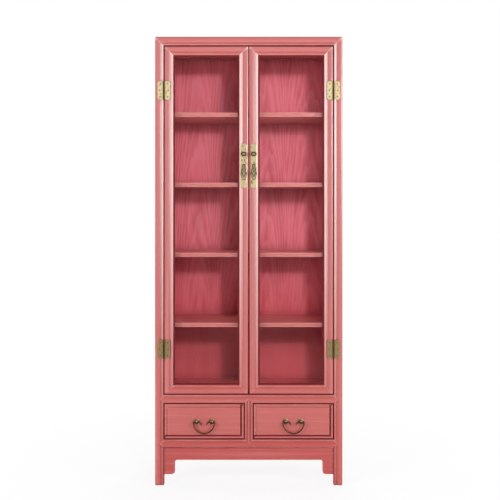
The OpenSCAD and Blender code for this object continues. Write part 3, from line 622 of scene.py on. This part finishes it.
# Clear pane that lets the lamps through
def makeGlass():
    material, tree, shader = newMaterial("glassPane")
    shader.inputs["Base Color"].default_value = glass["tint"]
    shader.inputs["Transmission Weight"].default_value = 1.0
    shader.inputs["IOR"].default_value = glass["ior"]
    shader.inputs["Specular IOR Level"].default_value = glass["specular"]
    smears = streaks(tree, "Z", **glass["smears"])
    tree.links.new(share(tree, smears, *glass["smearRough"]), shader.inputs["Roughness"])
    path = newNode(tree, "ShaderNodeLightPath")
    clear = newNode(tree, "ShaderNodeBsdfTransparent", {"Color": glass["tint"]})
    straight = compute(tree, "MAXIMUM", path.outputs["Is Shadow Ray"],
                       path.outputs["Is Diffuse Ray"])
    both = mixShader(tree, straight, shader, clear)
    output = [n for n in tree.nodes if n.type == "OUTPUT_MATERIAL"][0]
    tree.links.new(both.outputs[0], output.inputs["Surface"])
    return material


finishes = {
    "outerX": makeOuterPaint("X"),
    "outerY": makeOuterPaint("Y"),
    "outerZ": makeOuterPaint("Z"),
    "beadWearAndHighlightZ": makeOuterPaint("Z", "beadWearAndHighlightPaint", worn=0.78),
    # dark glaze, a painted shade for the gaps and for the lip beside the glass
    "glazed": makeOuterPaint("Z", "glazedPaint", glazed=1.0),
    "innerZX": makeBoards("innerPaint", innerPaint, "Z", "X"),
    "innerZY": makeBoards("innerPaint", innerPaint, "Z", "Y"),
    "innerXY": makeBoards("innerPaint", innerPaint, "X", "Y"),
    "innerYX": makeBoards("innerPaint", innerPaint, "Y", "X"),
    "boardsZX": makeBoards("boardPaint", boardPaint, "Z", "X"),
    "boardsZY": makeBoards("boardPaint", boardPaint, "Z", "Y"),
    "boardsXY": makeBoards("boardPaint", boardPaint, "X", "Y"),
    "brass": makeBrass("brightBrass", brass),
    "agedBrass": makeBrass("agedBrass", agedBrass),
    "darkBrass": makeBrass("darkBrass", darkBrass),
    "piercedBrass": makeBrass("piercedBrass", brass, rim=True),
    "plateBrass": makeBrass("plateBrass", plateBrass),
    "knobBrass": makeBrass("knobBrass", knobBrass),
    "glass": makeGlass(),
}
print("finishes ready")


# ---- pieces ----

easing = {
    "weld": 1e-6,
    "flat": 0.5,  # degrees between faces that count as one
    "sharp": 32,  # degrees from which an edge is eased
    "smooth": 35,  # degrees up to which an edge is shaded smooth
    "narrow": 1.3,  # steps narrower than this many offsets stay sharp
    "wood": 0.0005,
    "plate": 0.0003,
    "leaf": 0.0002,
}


def bodyOf(node):
    return cadNodes[node]["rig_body"]


# Makes an object of a bmesh, rides it on a body and smooths its shallow edges
def finishPiece(bm, name, body, finish):
    bmesh.ops.remove_doubles(bm, verts=bm.verts, dist=easing["weld"])
    bmesh.ops.recalc_face_normals(bm, faces=bm.faces)
    mesh = bpy.data.meshes.new(name)
    bm.to_mesh(mesh)
    bm.free()
    mesh.polygons.foreach_set("use_smooth", [True] * len(mesh.polygons))
    mesh.set_sharp_from_angle(angle=radians(easing["smooth"]))
    mesh.materials.append(finishes[finish])
    piece = bpy.data.objects.new(name, mesh)
    scene.collection.objects.link(piece)
    even = piece.modifiers.new("even", "WEIGHTED_NORMAL")
    even.keep_sharp = True
    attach(piece, body)
    return piece


# A copy of a CAD node with its edges eased, which stands for the node
def easedCopy(node, finish, ease=easing["wood"], segments=2, shape=None):
    bm = bmesh.new()
    bm.from_mesh(cadNodes[node].data)
    bmesh.ops.remove_doubles(bm, verts=bm.verts, dist=easing["weld"])
    bmesh.ops.dissolve_limit(bm, angle_limit=radians(easing["flat"]), verts=bm.verts,
                             edges=bm.edges)
    if shape:
        shape(bm)
    least = easing["narrow"] * ease
    turn = radians(easing["sharp"])
    edges = [e for e in bm.edges
             if len(e.link_faces) == 2 and e.calc_face_angle(0) > turn
             and all(f.calc_area() > least * e.calc_length() for f in e.link_faces)]
    if ease:
        bmesh.ops.bevel(bm, geom=edges, offset=ease, offset_type="OFFSET", affect="EDGES",
                        segments=segments, profile=0.5, material=-1, clamp_overlap=False,
                        loop_slide=True)
    piece = finishPiece(bm, "seen_" + node, bodyOf(node), finish)
    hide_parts(node)
    return piece


# Cuts a bmesh by a plane through a point, square to an axis
def cutAcross(bm, point, axis):
    bmesh.ops.bisect_plane(bm, geom=bm.verts[:] + bm.edges[:] + bm.faces[:], plane_co=point,
                           plane_no=axis)


# Gives a second finish to the faces whose centres pass a test
def refinish(piece, finish, test):
    piece.data.materials.append(finishes[finish])
    for face in piece.data.polygons:
        if test(face.center):
            face.material_index = len(piece.data.materials) - 1


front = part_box("rail_top_front")[0].y

# The hinges' measures, taken from their leaves
leavesLow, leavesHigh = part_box("hinge_leaves_posts")
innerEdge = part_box("door_right_hinge_leaves")[0].x
hinge = {
    "height": 0.078,
    "proud": 0.0011,
    "pinDepth": 0.0035,  # from the front of the knuckles to the pins
    "barrelReach": 0.0041,
    "toPost": 0.00125,  # from the pin to the inner face of its post
    "pinX": (leavesHigh.x + innerEdge) / 2,
    "leafWidth": (leavesHigh.x - innerEdge) / 2,
}
hinge["pinY"] = leavesLow.y + hinge["pinDepth"]
hinge["levels"] = (leavesLow.z + hinge["height"] / 2, leavesHigh.z - hinge["height"] / 2)


# Paints the knuckles of a piece of leaves dark brass, as painted shade
def shadeBarrels(piece):
    pin = Vector((hinge["pinX"], hinge["pinY"]))

    def isBarrel(at):
        return (Vector((abs(at.x), at.y)) - pin).length < hinge["barrelReach"]

    refinish(piece, "darkBrass", isBarrel)


moulding = {
    "bead": 0.0142,  # of a post, with its groove
    "doorBead": 0.0151,
    "lip": 0.008,  # how far a pane's opening lies outside the edge of its glass beads
    "lipDepth": (0.0052, 0.0112),
    "drawerGroove": (0.0088, 0.0163),
    "rim": 0.0017,  # what the dark glaze, a painted shade, covers beside a gap
    "rimDepth": 0.006,
}


# Gives the beads that run up a post or stile the worn paint, partly painted highlight: those from
# |x| = low to high
def wearAndHighlightBead(piece, low, high):
    shallow = moulding["lipDepth"][0]
    refinish(piece, "beadWearAndHighlightZ", lambda at: low < abs(at.x) < high and at.y < front + shallow)


# Paints dark glaze, as painted shade, on a front piece: on its edges along a gap, and on the lip
# beside the glass
def glazeAndShadeEdges(piece, node, across="XZ", lip=False):
    low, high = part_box(node)
    shallow, deep = moulding["lipDepth"]
    axes = ["XYZ".index(axis) for axis in across]

    def holdsGlazeAndShade(at):
        edge = min(min(at[i] - low[i], high[i] - at[i]) for i in axes)
        inLip = lip and at.y > front + shallow
        return at.y < front + deep and (edge < moulding["rim"] or inLip)

    refinish(piece, "glazed", holdsGlazeAndShade)


# Paints a shadow, as dark glaze, in the groove round a drawer front, low and to the right
def shadeGrooveLowRight(piece, node):
    low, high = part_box(node)
    near, far = moulding["drawerGroove"]
    deep = moulding["lipDepth"][1]

    def holdsGlazeAndShade(at):
        return at.y < front + deep and near < min(at.z - low.z, high.x - at.x) < far

    refinish(piece, "glazed", holdsGlazeAndShade)


# Parts the floor of a drawer front's groove into its four sides
def partGroove(bm):
    for axis, pick in (("X", min), ("X", max), ("Z", min), ("Z", max)):
        i = "XYZ".index(axis)
        edge = pick(v.co[i] for v in bm.verts)
        inset = moulding["drawerGroove"][1] * (1 if pick is min else -1)
        along = [1 if j == i else 0 for j in range(3)]
        cutAcross(bm, [(edge + inset) * part for part in along], along)


plate = {
    "crown": 0.001,
    "power": 5,
    "cuts": (-0.95, -0.85, -0.7, -0.5, 0.0, 0.5, 0.7, 0.85, 0.95),
}


# Pillows a pull plate: flat in the middle and turned back along its long edges
def crownPlate(bm):
    xs, ys = [v.co.x for v in bm.verts], [v.co.y for v in bm.verts]
    middle, half = (min(xs) + max(xs)) / 2, (max(xs) - min(xs)) / 2
    faceY = (min(ys) + max(ys)) / 2
    for cut in plate["cuts"]:
        cutAcross(bm, (middle + cut * half, 0, 0), (1, 0, 0))
    for v in bm.verts:
        if v.co.y < faceY:
            v.co.y += plate["crown"] * abs((v.co.x - middle) / half) ** plate["power"]


# Paints the half of a panel that faces out, along an axis and to one side of it
def paintOutside(piece, finish, axis, sign):
    span = [v.co[axis] for v in piece.data.vertices]
    middle = (min(span) + max(span)) / 2
    refinish(piece, finish, lambda at: sign * (at[axis] - middle) > 0)


outside = {
    "side_panels_left": ("boardsZY", 0, -1),
    "side_panels_right": ("boardsZY", 0, 1),
    "back_panels": ("boardsZX", 1, 1),
    "top_panel": ("boardsXY", 2, 1),
}

joinery = {
    "outerZ": ["post_front_left", "post_front_right", "post_rear_left", "post_rear_right",
               "centre_stile"],
    "outerX": ["rail_top_front", "rail_mid_front", "rail_bottom_front", "apron_front",
               "shelf_1", "shelf_2", "shelf_3", "shelf_4", "rails_rear"],
    "outerY": ["rails_left", "rails_right", "aprons_side", "top_battens"],
    "innerZY": ["side_panels_left", "side_panels_right"],
    "innerZX": ["back_panels"],
    "innerXY": ["top_panel", "cabinet_floor", "base_board"],
    "innerYX": ["shelf_cleats", "drawer_runners"],
}


# Wears the bead of a front post, partly a painted highlight, and paints dark glaze, as painted
# shade, on its edge along the door
def dressPost(piece):
    inner = hinge["pinX"] + hinge["toPost"]
    rim, deep = inner + moulding["rim"], front + moulding["rimDepth"]
    wearAndHighlightBead(piece, inner, inner + moulding["bead"])
    refinish(piece, "glazed", lambda at: abs(at.x) < rim and at.y < deep)


for finish, members in joinery.items():
    for node in members:
        made = easedCopy(node, finish)
        if node in outside:
            paintOutside(made, *outside[node])
        if node.startswith("post_front"):
            dressPost(made)
        elif node in ("rail_top_front", "rail_mid_front", "rail_bottom_front"):
            glazeAndShadeEdges(made, node, "Z")
        elif node == "centre_stile":
            glazeAndShadeEdges(made, node, "X")

for side, sign in sides:
    low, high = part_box(f"door_{side}_glass_beads")
    edges = sorted((abs(low.x), abs(high.x)))
    easedCopy(f"door_{side}_glass_beads", "outerZ")
    for part, edge, outward in (("hinge_stile", edges[1], 1), ("meeting_stile", edges[0], -1)):
        made = easedCopy(f"door_{side}_{part}", "outerZ")
        opening = edge - outward * moulding["lip"]
        wearAndHighlightBead(made, *sorted((opening, opening + outward * moulding["doorBead"])))
        glazeAndShadeEdges(made, f"door_{side}_{part}", lip=True)
    for part in ("top_rail", "bottom_rail"):
        made = easedCopy(f"door_{side}_{part}", "outerX")
        glazeAndShadeEdges(made, f"door_{side}_{part}", lip=True)
    easedCopy(f"door_{side}_glass", "glass", ease=easing["plate"], segments=1)
    shadeBarrels(easedCopy(f"door_{side}_hinge_leaves", "brass", ease=easing["leaf"], segments=1))
    easedCopy(f"door_{side}_pull_plate", "plateBrass", ease=easing["plate"], shape=crownPlate)
    easedCopy(f"door_{side}_knob", "knobBrass", ease=0)
    easedCopy(f"door_{side}_pendant_bracket", "agedBrass", ease=0)
    easedCopy(f"door_{side}_pendant", "piercedBrass", ease=easing["plate"])
    made = easedCopy(f"drawer_{side}_front", "outerX", shape=partGroove)
    glazeAndShadeEdges(made, f"drawer_{side}_front")
    shadeGrooveLowRight(made, f"drawer_{side}_front")
    easedCopy(f"drawer_{side}_box", "innerYX")
    easedCopy(f"drawer_{side}_bottom", "innerXY")
    easedCopy(f"drawer_{side}_bail_posts", "agedBrass", ease=0)
    easedCopy(f"drawer_{side}_bail", "darkBrass", ease=0)
shadeBarrels(easedCopy("hinge_leaves_posts", "brass", ease=easing["leaf"], segments=1))
easedCopy("hinge_pins", "darkBrass", ease=0)
print("joinery and hardware dressed")


# ---- dust strips of the doors ----

strip = {"wide": 0.0014, "deep": 0.008, "back": 0.010, "short": 0.003, "round": 0.0005}


# A thin strip let into the edge of a meeting stile, painted with the dark glaze as painted shade in
# the gap between the doors
def makeDustStrip(side, sign):
    low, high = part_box(f"door_{side}_meeting_stile")
    edge = min(abs(low.x), abs(high.x)) + strip["round"]
    size = (strip["wide"] + strip["round"], strip["deep"], high.z - low.z - 2 * strip["short"])
    middle = (sign * (edge - strip["wide"] / 2), front + strip["back"] + strip["deep"] / 2,
              (low.z + high.z) / 2)
    bm = bmesh.new()
    bmesh.ops.create_cube(bm, size=1)
    bmesh.ops.scale(bm, verts=bm.verts, vec=size)
    bmesh.ops.translate(bm, verts=bm.verts, vec=middle)
    bmesh.ops.bevel(bm, geom=bm.edges[:], offset=strip["round"], affect="EDGES", segments=2,
                    profile=0.5)
    finishPiece(bm, "dust_strip_" + side, "door_" + side,
                "glazed")


for side, sign in sides:
    makeDustStrip(side, sign)
print("dust strips set")


# ---- screws of the hinges ----

screws = {
    "radius": 0.0023,
    "segments": 20,
    "rise": 0.0008,
    "slot": 0.0009,
    "slotDepth": 0.0007,
    "places": ((0.56, 0.35), (0.64, 0.0), (0.56, -0.35)),  # shares of a leaf's width and height
}


def moved(made):
    return [part for part in made["geom"] if isinstance(part, bmesh.types.BMVert)]


# Adds a slotted head that faces the front, its slot turned from level
def addScrew(bm, at, turn):
    head = bmesh.new()
    bmesh.ops.create_circle(head, cap_ends=True, segments=screws["segments"],
                            radius=screws["radius"])
    for edge in (-0.5, 0.5):
        cutAcross(head, (0, edge * screws["slot"], 0), (0, 1, 0))
    slot = [f for f in head.faces if abs(f.calc_center_median().y) < 0.5 * screws["slot"]]
    skirt = bmesh.ops.extrude_edge_only(head, edges=[e for e in head.edges if e.is_boundary])
    bmesh.ops.translate(head, vec=(0, 0, -screws["rise"]), verts=moved(skirt))
    sunk = bmesh.ops.extrude_face_region(head, geom=slot)
    bmesh.ops.translate(head, vec=(0, 0, -screws["slotDepth"]), verts=moved(sunk))
    bmesh.ops.delete(head, geom=slot, context="FACES_ONLY")
    bmesh.ops.rotate(head, matrix=Matrix.Rotation(turn, 3, "Z"), verts=head.verts)
    bmesh.ops.rotate(head, matrix=Matrix.Rotation(radians(90), 3, "X"), verts=head.verts)
    bmesh.ops.translate(head, vec=at, verts=head.verts)
    mesh = bpy.data.meshes.new("head")
    head.to_mesh(mesh)
    head.free()
    bm.from_mesh(mesh)
    bpy.data.meshes.remove(mesh)


# Screws of the leaves that run from the pins outward (1) or inward (-1)
def makeHingeScrews(name, body, signs, outward):
    bm = bmesh.new()
    chance = Random(name)
    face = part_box("rail_top_front")[0].y - hinge["proud"] - screws["rise"]
    for sign in signs:
        for level in hinge["levels"]:
            for across, up in screws["places"]:
                x = sign * (hinge["pinX"] + outward * across * hinge["leafWidth"])
                at = (x, face, level + up * hinge["height"])
                addScrew(bm, at, chance.uniform(0, radians(180)))
    finishPiece(bm, name, body, "agedBrass")


makeHingeScrews("hinge_screws_posts", "carcass", (-1, 1), 1)
for side, sign in sides:
    makeHingeScrews("hinge_screws_door_" + side, "door_" + side, (sign,), -1)
print("screws set")
